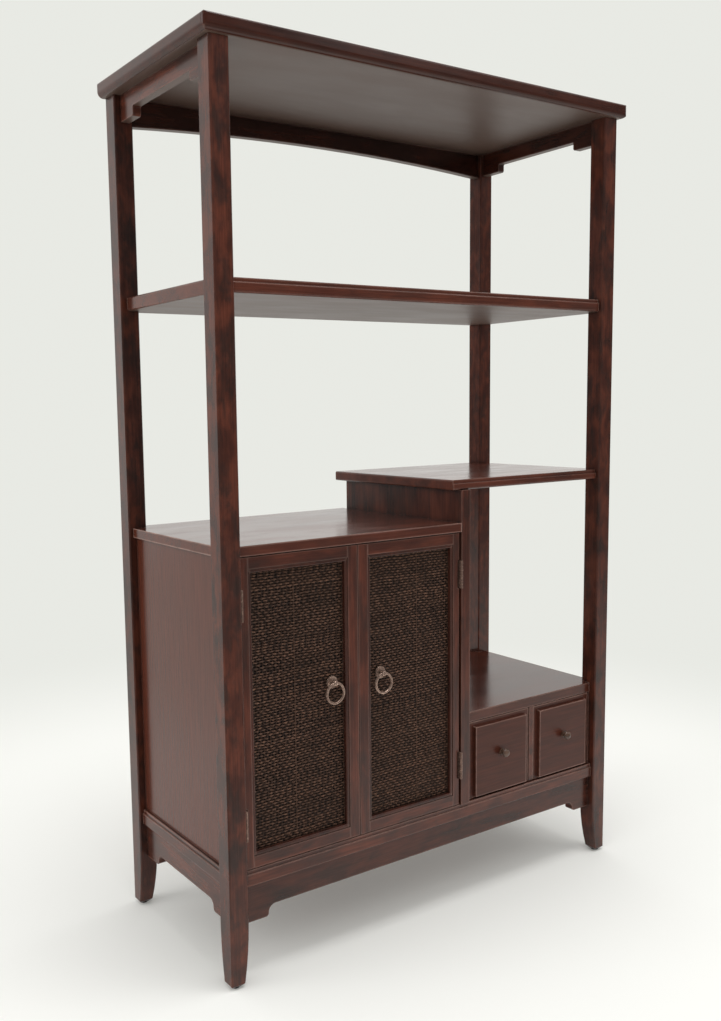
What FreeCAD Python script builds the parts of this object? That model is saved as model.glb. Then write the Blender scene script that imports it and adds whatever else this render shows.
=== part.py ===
import FreeCAD, Part
import math
import os

V = FreeCAD.Vector

# Whole object, in millimetres. X runs from left to right, Y from front to back, Z up.
body_width = 753.0
body_depth = 308.0
total_height = 1252.0

# Posts and feet
post_size = 29.0
post_chamfer = 1.6
leg_taper_start = 90.0
leg_taper = 8.0
foot_chamfer = 5.0
glide_thickness = 1.0
glide_radius = 6.0
glide_pin_radius = 1.2
glide_pin_length = 11.0

# Top board
top_thickness = 21.0
top_side_overhang = 12.0
top_front_overhang = 10.5
top_edge_radius = 3.2
top_under_radius = 8.5
top_corner_radius = 6.0

# Aprons under the top board
top_apron_inset = 10.5
top_apron_thickness = 13.0
side_top_apron_depth = 24.0
side_top_bracket_drop = 13.5
top_bracket_length = 40.0
top_bracket_cove = 2.5
top_bracket_corner = 3.5
rear_top_apron_depth = 28.0
rear_top_apron_rise = 12.5

# Edges of the shelves and front rail: a low bead set back above a flat nose with eased arrises
edge_bead_height = 5.3
edge_bead_setback = 1.8
edge_bead_radius = 1.0
edge_nose_arris = 1.1
edge_under_radius = 3.2
edge_side_radius = 2.8

# Upper shelf
upper_shelf_height = 945.0
upper_shelf_thickness = 19.5
upper_shelf_side_inset = 10.0
shelf_front_inset = 6.0
shelf_rear_inset = 5.0

# Partition and the raised side shelf on it
partition_left = 419.5
partition_thickness = 17.5
partition_front_inset = 4.0
partition_rear_inset = 16.0
side_shelf_rise = 65.0
side_shelf_thickness = 15.5
side_shelf_overhang = 15.0
side_shelf_end_inset = 11.5

# Cabinet with the two doors
cabinet_opening = 429.0
cabinet_top_thickness = 14.0
cabinet_top_end_inset = 7.0
edge_rounding = 1.2
panel_inset = 12.0
side_panel_thickness = 12.0
back_panel_thickness = 6.0

# Drawer case
drawer_opening = 126.0
lower_shelf_thickness = 16.5
lower_shelf_front_inset = 12.0
divider_thickness = 9.3
case_left_stile_width = 6.0
case_right_stile_width = 3.0
case_stile_thickness = 17.0
drawer_guide_height = 16.0

# Base: rails with a bead over a flat nose, and aprons with bracket ends
rail_top_height = 159.0
rail_height = 23.8
rail_nose_inset = 6.0
rail_tenon_setback = 9.0
base_floor_thickness = 12.0
base_apron_inset = 12.0
base_apron_thickness = 15.0
base_apron_depth = 36.7
base_bracket_drop = 16.0
base_bracket_length = 39.0
base_bracket_cove = 11.0
base_bracket_corner = 4.8

# Tenons of the rails and aprons in the posts
tenon_length = 14.0
tenon_thickness = 7.0
tenon_shoulder = 2.5

# Doors
door_inset = 7.0
door_thickness = 18.0
door_side_gap = 2.2
door_meeting_gap = 0.9
door_meeting_relief = 1.0
door_end_gap = 1.5
hinge_stile_width = 12.0
meeting_stile_width = 17.3
door_top_rail_width = 16.5
door_bottom_rail_width = 16.5
door_tenon_length = 7.0
door_tenon_thickness = 5.0
door_tenon_shoulder = 3.0
door_panel_setback = 7.0
door_panel_thickness = 4.5
door_panel_lip = 4.0
bead_width = 5.0
bead_front_setback = 1.0
bead_outer_radius = 0.8
bead_inner_radius = 1.8

# Butt hinges
hinge_length = 42.0
hinge_offset = 63.0
hinge_barrel_radius = 2.4
hinge_axis_inset = 3.4
hinge_pin_radius = 1.1
hinge_leaf_thickness = 1.0
hinge_leaf_width = 17.0
hinge_knuckle_gap = 0.2
hinge_recess_clearance = 0.35
hinge_notch_width = 3.4
hinge_notch_depth = 3.0
hinge_screw_spacing = 26.0
hinge_screw_setback = 10.0
hinge_screw_head_radius = 2.4
hinge_screw_radius = 1.2
hinge_screw_length = 8.0
running_clearance = 0.05

# Ring pulls
pull_edge_distance = 43.0
pull_height = 234.0
rosette_radius = 9.0
rosette_thickness = 3.0
rosette_rim_radius = 1.0
stem_radius = 2.6
stem_reach = 9.5
stem_ball_radius = 4.2
ring_outer_radius = 16.4
ring_wire_radius = 2.0
ring_hole_clearance = 0.6
pull_nut_radius = 4.0
pull_nut_thickness = 3.0

# Magnetic catches behind the doors
catch_length = 38.0
catch_depth = 12.0
catch_height = 10.0
catch_from_meeting = 7.0
strike_thickness = 1.0
strike_length = 28.0
strike_height = 9.0
catch_gap = 0.2

# Drawers
drawer_border_inset = 13.0
drawer_front_thickness = 13.0
drawer_gap = 1.0
drawer_side_border = 9.3
drawer_top_border = 7.0
drawer_lower_border = 2.1
drawer_field_rise = 6.0
drawer_field_bevel = 1.0
drawer_board_thickness = 9.0
drawer_headroom = 26.7
drawer_running_gap = 0.3
drawer_rear_gap = 1.5
drawer_bottom_thickness = 4.0
drawer_bottom_height = 7.0
drawer_groove_depth = 4.0
knob_rise = 4.0
knob_flange_radius = 5.0
knob_flange_thickness = 2.8
knob_neck_radius = 3.0
knob_neck_length = 3.4
knob_head_radius = 7.0
knob_cup_length = 2.8
knob_crown_height = 5.6
knob_screw_radius = 1.6
knob_screw_head_radius = 4.0
knob_screw_head_thickness = 2.0
knob_screw_reach = 6.0

# Cutting tools run past the faces that they cut by this much
overrun = 1.0

left = -body_width / 2
right = body_width / 2
front = (top_front_overhang - body_depth) / 2
rear = front + body_depth
top_underside = total_height - top_thickness
cabinet_underside = rail_top_height + cabinet_opening
cabinet_top_height = cabinet_underside + cabinet_top_thickness
side_shelf_height = cabinet_top_height + side_shelf_rise
lower_shelf_underside = rail_top_height + drawer_opening
lower_shelf_height = lower_shelf_underside + lower_shelf_thickness
rail_underside = rail_top_height - rail_height
partition_x = left + partition_left
partition_right = partition_x + partition_thickness
inner_left = left + post_size
inner_right = right - post_size
inner_front = front + post_size
inner_rear = rear - post_size
back_panel_rear = rear - partition_rear_inset
back_panel_front = back_panel_rear - back_panel_thickness
drawers_left = partition_right + case_left_stile_width
drawers_right = inner_right - case_right_stile_width

nodes = {}
mortises = []


def box(x0, x1, y0, y1, z0, z1):
    return Part.makeBox(x1 - x0, y1 - y0, z1 - z0, V(x0, y0, z0))


def cylinder(radius, start, end):
    axis = end - start
    return Part.makeCylinder(radius, axis.Length, start, axis)


def face_of(points):
    """A flat face through points. A tuple of two points in the list is an arc's middle and end."""
    edges = []
    at = points[0]
    for step in points[1:] + [points[0]]:
        if isinstance(step, tuple):
            edges.append(Part.Arc(at, step[0], step[1]).toShape())
            at = step[1]
        elif (step - at).Length > 0:
            edges.append(Part.LineSegment(at, step).toShape())
            at = step
    return Part.Face(Part.Wire(edges))


def points_at(outline, place):
    """Put the flat points of an outline, and the two points of each of its arcs, in space."""
    return [(place(p[0]), place(p[1])) if isinstance(p[0], tuple) else place(p) for p in outline]


def arc_middle(centre, radius, degrees):
    turn = math.radians(degrees)
    return centre[0] + radius * math.cos(turn), centre[1] + radius * math.sin(turn)


def keep(name, *solids):
    """Store the separate solids of one named piece."""
    nodes[name] = Part.makeCompound(list(solids)) if len(solids) > 1 else solids[0]


def cut_all(shape, tools):
    for tool in tools:
        if shape.BoundBox.intersect(tool.BoundBox):
            shape = shape.cut(tool)
    return shape


def with_tenons(shape, along, z0, z1, across0, across1, ends):
    """Add a tenon at both ends of a rail or apron that runs along X or Y, and note its mortises."""
    middle = (across0 + across1) / 2
    low, high = middle - tenon_thickness / 2, middle + tenon_thickness / 2
    for start, stop in ((ends[0] - tenon_length, ends[0]), (ends[1], ends[1] + tenon_length)):
        if along == "x":
            tenon = box(start, stop, low, high, z0, z1)
        else:
            tenon = box(low, high, start, stop, z0, z1)
        mortises.append(tenon)
        shape = shape.fuse(tenon)
    return shape.removeSplitter()


def bracket_outline(length, depth, drop, bracket, cove, corner):
    """Lower outline of an apron with a bracket at each end, as (along, down) points and arcs."""
    low = -depth - drop
    step = low + corner
    rise = -depth - cove
    x = bracket
    outline = [(0, 0), (0, low), (x - corner, low)]
    outline.append((arc_middle((x - corner, step), corner, -45), (x, step)))
    outline.append((x, rise))
    outline.append((arc_middle((x + cove, rise), cove, 135), (x + cove, -depth)))
    x = length - bracket
    outline.append((x - cove, -depth))
    outline.append((arc_middle((x - cove, rise), cove, 45), (x, rise)))
    outline.append((x, step))
    outline.append((arc_middle((x + corner, step), corner, -135), (x + corner, low)))
    outline += [(length, low), (length, 0)]
    return outline


def apron(outline, along, start, across0, across1, top):
    """Extrude an (along, down) outline into a board whose faces are at across0 and across1."""
    def place(point):
        if along == "x":
            return V(start + point[0], across0, top + point[1])
        return V(across0, start + point[0], top + point[1])

    thickness = across1 - across0
    through = V(0, thickness, 0) if along == "x" else V(thickness, 0, 0)
    return face_of(points_at(outline, place)).extrude(through)


def eased(inward, up, radius, turn):
    """The arc that eases a corner at (inward, up): turn is -1 under the edge and 1 over it."""
    flat, upright = (inward + radius, up), (inward, up - turn * radius)
    middle = arc_middle((inward + radius, up - turn * radius), radius, 180 - turn * 45)
    return (flat, (middle, upright)) if turn < 0 else (upright, (middle, flat))


def beaded_edge(z0, z1):
    """Edge of a board as (inward, up) points, from its underside to its top: nose, ledge and bead."""
    ledge = z1 - edge_bead_height
    edge = [*eased(0, z0, edge_under_radius, -1), *eased(0, ledge, edge_nose_arris, 1)]
    return edge + [(edge_bead_setback, ledge), *eased(edge_bead_setback, z1, edge_bead_radius, 1)]


def plain_edge(z0, z1):
    """Edge of a board as (inward, up) points, eased alike under and over."""
    return [*eased(0, z0, edge_side_radius, -1), *eased(0, z1, edge_side_radius, 1)]


def nosed_rail(side):
    """A base rail between two posts, with its nose towards the outside of the frame."""
    def place(point):
        inward = rail_nose_inset + point[0]
        if side == "front":
            return V(inner_left, front + inward, point[1])
        if side == "left":
            return V(left + inward, inner_front, point[1])
        return V(right - inward, inner_front, point[1])

    depth = post_size - rail_nose_inset
    outline = beaded_edge(rail_underside, rail_top_height)
    outline += [(depth, rail_top_height), (depth, rail_underside)]
    section = face_of(points_at(outline, place))
    if side == "front":
        return section.extrude(V(inner_right - inner_left, 0, 0))
    return section.extrude(V(0, inner_rear - inner_front, 0))


def nosed_board(x0, x1, y0, y1, z0, z1):
    """A board with a beaded front edge and eased ends."""
    def front_place(p):
        return V(x0, y0 + p[0], p[1])

    def left_place(p):
        return V(x0 + p[0], y0, p[1])

    def right_place(p):
        return V(x1 - p[0], y0, p[1])

    section = points_at(beaded_edge(z0, z1), front_place) + [V(x0, y1, z1), V(x0, y1, z0)]
    board = face_of(section).extrude(V(x1 - x0, 0, 0))
    for place, far in ((left_place, x1), (right_place, x0)):
        section = points_at(plain_edge(z0, z1), place) + [V(far, y0, z1), V(far, y0, z0)]
        board = board.common(face_of(section).extrude(V(0, y1 - y0, 0)))
    return board


def post_box(x, y, z0, z1):
    """The square that a post fills between two heights, from its outer corner."""
    x0 = x if x < 0 else x - post_size
    y0 = y if y < 0 else y - post_size
    return box(x0, x0 + post_size, y0, y0 + post_size, z0, z1)


def round_edges(shape, test, radius):
    """Round the edges of a board that a test picks by their middle point and direction."""
    picked = []
    for edge in shape.Edges:
        middle = edge.valueAt((edge.FirstParameter + edge.LastParameter) / 2)
        if test(middle, edge):
            picked.append(edge)
    return shape.makeFillet(radius, picked)


def make_post(x, y):
    """One post: square above, its two inner faces curving in to a chamfered foot."""
    inward_x = 1 if x < 0 else -1
    inward_y = 1 if y < 0 else -1
    foot = post_size - leg_taper
    curve_height = leg_taper_start - glide_thickness
    radius = (curve_height ** 2 + leg_taper ** 2) / (2 * leg_taper)
    half_angle = math.degrees(math.asin(curve_height / radius)) / 2
    middle = arc_middle((post_size - radius, leg_taper_start), radius, -half_angle)
    scoop = [
        (post_size + overrun, leg_taper_start), (post_size, leg_taper_start),
        (middle, (foot, glide_thickness)), (foot, 0), (post_size + overrun, 0),
    ]
    low, high = glide_thickness - overrun, glide_thickness + foot_chamfer + overrun
    outer_wedge = [(-overrun, low), (-overrun, high), (foot_chamfer + overrun, low)]
    inner_wedge = [(foot + overrun, low), (foot + overrun, high), (foot - foot_chamfer - overrun, low)]
    reach = post_size + 2 * overrun
    post = post_box(x, y, glide_thickness, top_underside)
    for outline in (scoop, outer_wedge, inner_wedge):
        across_x = points_at(outline, lambda p: V(x + inward_x * p[0], y - inward_y * overrun, p[1]))
        across_y = points_at(outline, lambda p: V(x - inward_x * overrun, y + inward_y * p[0], p[1]))
        post = post.cut(face_of(across_x).extrude(V(0, inward_y * reach, 0)))
        post = post.cut(face_of(across_y).extrude(V(inward_x * reach, 0, 0)))
        if outline is scoop:
            post = post.makeChamfer(post_chamfer, [e for e in post.Edges if e.BoundBox.ZLength > leg_taper])
    centre = foot_centre(x, y)
    hole = cylinder(glide_pin_radius + running_clearance, V(*centre, 0),
                    V(*centre, glide_thickness + glide_pin_length))
    return cut_all(post, mortises + [hole])


def foot_centre(x, y):
    """The middle of a tapered foot, in plan."""
    half = (post_size - leg_taper) / 2
    return (x + half if x < 0 else x - half), (y + half if y < 0 else y - half)


corners = {
    "front_left": (left, front), "front_right": (right, front),
    "rear_left": (left, rear), "rear_right": (right, rear),
}


def make_top():
    x0, x1 = left - top_side_overhang, right + top_side_overhang
    y0 = front - top_front_overhang
    z0, z1 = top_underside, total_height
    small, large = top_edge_radius, top_under_radius
    small_middle = arc_middle((small, z1 - small), small, 135)
    large_middle = arc_middle((large, z0 + large), large, 225)
    edge = [(large, z0), (large_middle, (0, z0 + large)), (0, z1 - small), (small_middle, (small, z1))]

    front_edge = points_at(edge, lambda p: V(x0, y0 + p[0], p[1]))
    left_edge = points_at(edge, lambda p: V(x0 + p[0], y0, p[1]))
    right_edge = points_at(edge, lambda p: V(x1 - p[0], y0, p[1]))
    board = face_of(front_edge + [V(x0, rear, z1), V(x0, rear, z0)]).extrude(V(x1 - x0, 0, 0))
    for side, far in ((left_edge, x1), (right_edge, x0)):
        section = face_of(side + [V(far, y0, z1), V(far, y0, z0)])
        board = board.common(section.extrude(V(0, rear - y0, 0)))
    corner = top_corner_radius
    left_middle = arc_middle((x0 + corner, y0 + corner), corner, 225)
    right_middle = arc_middle((x1 - corner, y0 + corner), corner, 315)
    plan = face_of([
        V(x0, rear, z0), V(x0, y0 + corner, z0), (V(*left_middle, z0), V(x0 + corner, y0, z0)),
        V(x1 - corner, y0, z0), (V(*right_middle, z0), V(x1, y0 + corner, z0)), V(x1, rear, z0),
    ])
    keep("top_board", board.common(plan.extrude(V(0, 0, top_thickness))))

    length = inner_rear - inner_front
    outline = bracket_outline(length, side_top_apron_depth, side_top_bracket_drop, top_bracket_length,
                              top_bracket_cove, top_bracket_corner)
    tenon_top = top_underside - tenon_shoulder
    tenon_bottom = top_underside - side_top_apron_depth / 2
    thick = top_apron_thickness
    for name, x in (("left", left + top_apron_inset), ("right", right - top_apron_inset - thick)):
        board = apron(outline, "y", inner_front, x, x + thick, top_underside)
        board = with_tenons(board, "y", tenon_bottom, tenon_top, x, x + thick, (inner_front, inner_rear))
        keep("top_apron_" + name, board)

    length = inner_right - inner_left
    low = -rear_top_apron_depth - rear_top_apron_rise
    outline = [(0, 0), (0, low), ((length / 2, -rear_top_apron_depth), (length, low)), (length, 0)]
    y1 = rear - top_apron_inset
    y0 = y1 - thick
    board = apron(outline, "x", inner_left, y0, y1, top_underside)
    board = with_tenons(board, "x", top_underside + low + tenon_shoulder, tenon_bottom - tenon_shoulder,
                        y0, y1, (inner_left, inner_right))
    keep("top_apron_rear", board)


def notched(board, names):
    """Cut a board round the posts that it meets."""
    for name in names:
        x, y = corners[name]
        board = board.cut(post_box(x, y, board.BoundBox.ZMin - overrun, board.BoundBox.ZMax + overrun))
    return board


def make_shelves():
    shelf = nosed_board(left + upper_shelf_side_inset, right - upper_shelf_side_inset,
                        front + shelf_front_inset, rear - shelf_rear_inset,
                        upper_shelf_height - upper_shelf_thickness, upper_shelf_height)
    keep("upper_shelf", notched(shelf, corners))
    shelf = nosed_board(partition_x - side_shelf_overhang, right - side_shelf_end_inset,
                        front + shelf_front_inset, rear - shelf_rear_inset,
                        side_shelf_height - side_shelf_thickness, side_shelf_height)
    keep("side_shelf", notched(shelf, ("front_right", "rear_right")))

    def long_front_edge(y):
        return lambda p, edge: abs(p.y - y) < edge_rounding and edge.Length > post_size * 2

    shelf = box(left + cabinet_top_end_inset, partition_x, front + partition_front_inset,
                rear - shelf_rear_inset, cabinet_underside, cabinet_top_height)
    shelf = notched(shelf, ("front_left", "rear_left"))
    shelf = round_edges(shelf, long_front_edge(front + partition_front_inset), edge_rounding)
    keep("cabinet_top", shelf)
    shelf = box(partition_right, right - panel_inset, front + lower_shelf_front_inset,
                rear - shelf_rear_inset, lower_shelf_underside, lower_shelf_height)
    shelf = notched(shelf, ("front_right", "rear_right"))
    shelf = round_edges(shelf, long_front_edge(front + lower_shelf_front_inset), edge_rounding)
    keep("lower_shelf", shelf)


def make_case():
    side_shelf_underside = side_shelf_height - side_shelf_thickness
    wall = box(partition_x, partition_right, front + partition_front_inset, back_panel_rear,
               rail_top_height, side_shelf_underside)
    wall = cut_all(wall, hinge_cuts("right"))
    keep("partition", wall)
    keep("cabinet_side_panel", box(left + panel_inset, left + panel_inset + side_panel_thickness,
                                   inner_front, inner_rear, rail_top_height, cabinet_underside))
    keep("cabinet_back_panel", box(inner_left, partition_x, back_panel_front, back_panel_rear,
                                   rail_top_height, cabinet_underside))
    keep("drawer_case_side_panel", box(right - panel_inset - side_panel_thickness, right - panel_inset,
                                       inner_front, inner_rear, rail_top_height, lower_shelf_underside))
    keep("drawer_case_back_panel", box(partition_right, inner_right, back_panel_front, back_panel_rear,
                                       rail_top_height, lower_shelf_underside))
    middle = (drawers_left + drawers_right) / 2
    keep("drawer_divider", box(middle - divider_thickness / 2, middle + divider_thickness / 2,
                               front + lower_shelf_front_inset, back_panel_front,
                               rail_top_height, lower_shelf_underside))
    stiles = []
    guides = []
    case_wall = right - panel_inset - side_panel_thickness
    stile_front = front + lower_shelf_front_inset
    guide_top = rail_top_height + drawer_guide_height
    for x0, x1, wall in ((partition_right, drawers_left, partition_right), (drawers_right, inner_right, case_wall)):
        stiles.append(box(x0, x1, stile_front, stile_front + case_stile_thickness,
                          rail_top_height, lower_shelf_underside))
        guides.append(box(min(x0, wall), max(x1, wall), stile_front + case_stile_thickness, inner_rear,
                          rail_top_height, guide_top))
    keep("drawer_case_stiles", *stiles)
    keep("drawer_guides", *guides)
    keep("base_floor", box(inner_left, inner_right, inner_front, inner_rear,
                           rail_top_height - base_floor_thickness, rail_top_height))


def make_base():
    side_tenon_top = rail_underside + rail_height / 2 - tenon_shoulder / 2
    side_tenon_bottom = rail_underside + tenon_shoulder
    long_tenon_bottom = rail_underside + rail_height / 2 + tenon_shoulder / 2
    long_tenon_top = rail_top_height - tenon_shoulder
    behind_nose = rail_nose_inset + rail_tenon_setback
    keep("base_rail_front", with_tenons(
        nosed_rail("front"), "x", long_tenon_bottom, long_tenon_top,
        front + behind_nose, inner_front, (inner_left, inner_right)))
    sides = (("left", left + behind_nose, inner_left), ("right", inner_right, right - behind_nose))
    for name, x0, x1 in sides:
        keep("base_rail_" + name, with_tenons(
            nosed_rail(name), "y", side_tenon_bottom, side_tenon_top, x0, x1, (inner_front, inner_rear)))
    y1 = rear - base_apron_inset
    rail = box(inner_left, inner_right, inner_rear, y1, rail_underside, rail_top_height)
    keep("base_rail_rear", with_tenons(rail, "x", long_tenon_bottom, long_tenon_top, inner_rear, y1,
                                       (inner_left, inner_right)))

    full_depth = base_apron_depth + base_bracket_drop
    middle = rail_underside - full_depth / 2
    upper_tenon = (middle + tenon_shoulder, rail_underside - tenon_shoulder)
    lower_tenon = (rail_underside - full_depth + tenon_shoulder, middle - tenon_shoulder)
    inset, thick = base_apron_inset, base_apron_thickness
    boards = (
        ("front", "x", front + inset, upper_tenon), ("rear", "x", rear - inset - thick, upper_tenon),
        ("left", "y", left + inset, lower_tenon), ("right", "y", right - inset - thick, lower_tenon),
    )
    for name, along, across, tenon in boards:
        start, stop = (inner_left, inner_right) if along == "x" else (inner_front, inner_rear)
        outline = bracket_outline(stop - start, base_apron_depth, base_bracket_drop, base_bracket_length,
                                  base_bracket_cove, base_bracket_corner)
        board = apron(outline, along, start, across, across + thick, rail_underside)
        keep("base_apron_" + name, with_tenons(board, along, *tenon, across, across + thick, (start, stop)))


door_bottom = rail_top_height + door_end_gap
door_top = cabinet_underside - door_end_gap
door_front = front + door_inset
door_back = door_front + door_thickness
door_width = (partition_x - inner_left - 2 * door_side_gap - door_meeting_gap) / 2
hinge_heights = (door_bottom + hinge_offset, door_top - hinge_offset)


def hinge_line(side):
    """Plan position of a door's hinge axis, and the direction from it to the door."""
    if side == "left":
        return inner_left + door_side_gap / 2, front + hinge_axis_inset, 1
    return partition_x - door_side_gap / 2, front + hinge_axis_inset, -1


def hinge_cuts(side):
    """What is cut from the post or partition for one door's hinges: barrel room and screw holes."""
    x, y, way = hinge_line(side)
    cuts = []
    radius = hinge_barrel_radius + hinge_recess_clearance
    half = hinge_length / 2 + hinge_recess_clearance
    for z in hinge_heights:
        cuts.append(cylinder(radius, V(x, y, z - half), V(x, y, z + half)))
        cuts += screw_holes(x - way * door_side_gap / 2, y, z, -way)
    return cuts


def screw_places(y, z):
    return [(y + hinge_screw_setback, z + shift * hinge_screw_spacing / 2) for shift in (-1, 1)]


def screw_holes(wood, y, z, way):
    reach = way * (hinge_screw_length + running_clearance)
    return [
        cylinder(hinge_screw_radius + running_clearance, V(wood, sy, sz), V(wood + reach, sy, sz))
        for sy, sz in screw_places(y, z)
    ]


def hinge_leaf(side, z, moving):
    """One leaf of a hinge with its knuckles, and its two screws, as separate solids."""
    x, y, way = hinge_line(side)
    toward = way if moving else -way
    wood = x + toward * door_side_gap / 2
    inner = wood - toward * hinge_leaf_thickness
    low, high = z - hinge_length / 2, z + hinge_length / 2
    third = hinge_length / 3
    gap = hinge_knuckle_gap
    if moving:
        own = [(low + third + gap, high - third - gap)]
        other = [(low - overrun, low + third + gap), (high - third - gap, high + overrun)]
    else:
        own = [(low, low + third), (high - third, high)]
        other = [(low + third - gap, high - third + gap)]
    leaf = box(min(wood, inner), max(wood, inner), y, y + hinge_leaf_width, low, high)
    for z0, z1 in other:
        leaf = leaf.cut(cylinder(hinge_barrel_radius + gap, V(x, y, z0), V(x, y, z1)))
    for z0, z1 in own:
        leaf = leaf.fuse(cylinder(hinge_barrel_radius, V(x, y, z0), V(x, y, z1)))
    bore = hinge_pin_radius + (running_clearance if moving else 0)
    leaf = leaf.cut(cylinder(bore, V(x, y, low - overrun), V(x, y, high + overrun))).removeSplitter()
    screws = []
    for sy, sz in screw_places(y, z):
        leaf = leaf.cut(cylinder(hinge_screw_head_radius + running_clearance,
                                 V(inner - toward * overrun, sy, sz), V(wood + toward * overrun, sy, sz)))
        head = cylinder(hinge_screw_head_radius, V(inner, sy, sz), V(wood, sy, sz))
        shank = cylinder(hinge_screw_radius, V(wood, sy, sz), V(wood + toward * hinge_screw_length, sy, sz))
        screws.append(head.fuse(shank))
    return [leaf] + screws


def make_hinges():
    fixed = []
    for side in ("left", "right"):
        x, y, _ = hinge_line(side)
        half = hinge_length / 2
        moving = []
        for z in hinge_heights:
            fixed += hinge_leaf(side, z, False)
            fixed.append(cylinder(hinge_pin_radius, V(x, y, z - half), V(x, y, z + half)))
            moving += hinge_leaf(side, z, True)
        keep("door_" + side + "_hinge_leaves", *moving)
    keep("fixed_hinge_leaves", *fixed)


def bead_strips(opening, front_face, back_face):
    """Four mitred strips round an opening, their two front arrises eased."""
    x0, x1, z0, z1 = opening
    outer = [V(x0, front_face, z0), V(x1, front_face, z0), V(x1, front_face, z1), V(x0, front_face, z1)]
    outer_r, inner_r = bead_outer_radius, bead_inner_radius
    depth = back_face - front_face
    outer_middle = arc_middle((outer_r, outer_r), outer_r, 225)
    inner_middle = arc_middle((bead_width - inner_r, inner_r), inner_r, 315)
    profile = [
        (0, depth), (0, outer_r), (outer_middle, (outer_r, 0)), (bead_width - inner_r, 0),
        (inner_middle, (bead_width, inner_r)), (bead_width, depth),
    ]
    strips = []
    for start, end in zip(outer, outer[1:] + outer[:1]):
        along = (end - start).normalize()
        across = V(-along.z, 0, along.x)
        section = face_of(points_at(profile, lambda p: start + across * p[0] + V(0, p[1], 0)))
        mitre = face_of([
            start, end, end + (across - along) * bead_width, start + (across + along) * bead_width,
        ])
        strip = section.extrude(end - start)
        strips.append(strip.common(mitre.extrude(V(0, depth, 0))))
    return strips


def make_door(side):
    """One door: two stiles, two rails, the woven panel in their groove and the bead before it."""
    x_axis, y_axis, way = hinge_line(side)
    hinge_edge = x_axis + way * door_side_gap / 2
    meeting_edge = hinge_edge + way * door_width
    hinge_inner = hinge_edge + way * hinge_stile_width
    meeting_inner = meeting_edge - way * meeting_stile_width
    opening_bottom = door_bottom + door_bottom_rail_width
    opening_top = door_top - door_top_rail_width
    x0, x1 = min(hinge_inner, meeting_inner), max(hinge_inner, meeting_inner)
    panel_front = door_front + door_panel_setback
    panel_back = panel_front + door_panel_thickness
    panel = box(x0 - door_panel_lip, x1 + door_panel_lip, panel_front, panel_back,
                opening_bottom - door_panel_lip, opening_top + door_panel_lip)

    middle_y = (panel_front + door_back) / 2
    tenon_y = (middle_y, middle_y + door_tenon_thickness)
    rail_tenons = []
    for z0, z1 in ((door_bottom, opening_bottom), (opening_top, door_top)):
        rail_tenons.append(box(x0 - door_tenon_length, x1 + door_tenon_length, *tenon_y,
                               z0 + door_tenon_shoulder, z1 - door_tenon_shoulder))
    stiles = {"hinge_stile": (hinge_edge, hinge_inner), "meeting_stile": (meeting_edge, meeting_inner)}
    for name, (outer, inner) in stiles.items():
        relief = 0 if name == "hinge_stile" else way * door_meeting_relief
        stile = face_of([
            V(outer, door_front, door_bottom), V(inner, door_front, door_bottom),
            V(inner, door_back, door_bottom), V(outer - relief, door_back, door_bottom),
        ]).extrude(V(0, 0, door_top - door_bottom))
        stile = cut_all(stile, rail_tenons + [panel])
        if name == "hinge_stile":
            for z in hinge_heights:
                notch = (hinge_edge, hinge_edge + way * hinge_notch_width)
                half = hinge_length / 2 + hinge_recess_clearance
                stile = stile.cut(box(min(notch), max(notch), door_front - overrun,
                                      door_front + hinge_notch_depth, z - half, z + half))
                stile = cut_all(stile, screw_holes(hinge_edge, y_axis, z, way))
        keep("door_" + side + "_" + name, stile)
    for name, z0, z1, tenon in (("bottom_rail", door_bottom, opening_bottom, rail_tenons[0]),
                                ("top_rail", opening_top, door_top, rail_tenons[1])):
        rail = box(x0, x1, door_front, door_back, z0, z1).cut(panel).fuse(tenon.cut(panel))
        keep("door_" + side + "_" + name, rail.removeSplitter())

    pull_x = meeting_edge - way * pull_edge_distance
    pull_z = door_bottom + pull_height
    hole = cylinder(stem_radius + running_clearance, V(pull_x, panel_front - overrun, pull_z),
                    V(pull_x, panel_back + overrun, pull_z))
    keep("door_" + side + "_woven_panel", panel.cut(hole))

    opening = (x0, x1, opening_bottom, opening_top)
    keep("door_" + side + "_bead", *bead_strips(opening, door_front + bead_front_setback, panel_front))

    strike_near = meeting_edge - way * catch_from_meeting
    strike_far = strike_near - way * strike_length
    strike_top = door_top - door_tenon_shoulder
    keep("door_" + side + "_strike_plate", box(min(strike_near, strike_far), max(strike_near, strike_far),
                                               door_back, door_back + strike_thickness,
                                               strike_top - strike_height, strike_top))
    make_pull(side, pull_x, pull_z, panel_front, panel_back)
    return strike_near


def make_pull(side, x, z, panel_front, panel_back):
    """A rosette and stem with an eye in its ball end, its nut, and the ring that hangs in it."""
    eye_y = panel_front - stem_reach
    rim = rosette_rim_radius
    rosette = cylinder(rosette_radius, V(x, panel_front - rosette_thickness, z), V(x, panel_front, z))
    rosette = rosette.makeFillet(rim, [e for e in rosette.Edges if e.BoundBox.YMax < panel_front - rim])
    stem_end = panel_back + pull_nut_thickness
    stem = cylinder(stem_radius, V(x, eye_y, z), V(x, stem_end, z))
    ball = Part.makeSphere(stem_ball_radius, V(x, eye_y, z))
    half = stem_ball_radius + overrun
    eye = cylinder(ring_wire_radius + ring_hole_clearance, V(x - half, eye_y, z), V(x + half, eye_y, z))
    nut = cylinder(pull_nut_radius, V(x, panel_back, z), V(x, stem_end, z))
    nut = nut.cut(cylinder(stem_radius, V(x, panel_back - overrun, z), V(x, stem_end + overrun, z)))
    mount = rosette.fuse([stem, ball]).removeSplitter().cut(eye)
    keep("door_" + side + "_pull_mount", mount, nut)
    ring_radius = ring_outer_radius - ring_wire_radius
    ring = Part.makeTorus(ring_radius, ring_wire_radius, V(x, eye_y, z - ring_radius), V(0, 1, 0))
    keep("door_" + side + "_ring", ring)
    print("ring axis", side, x, eye_y, z)


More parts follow.
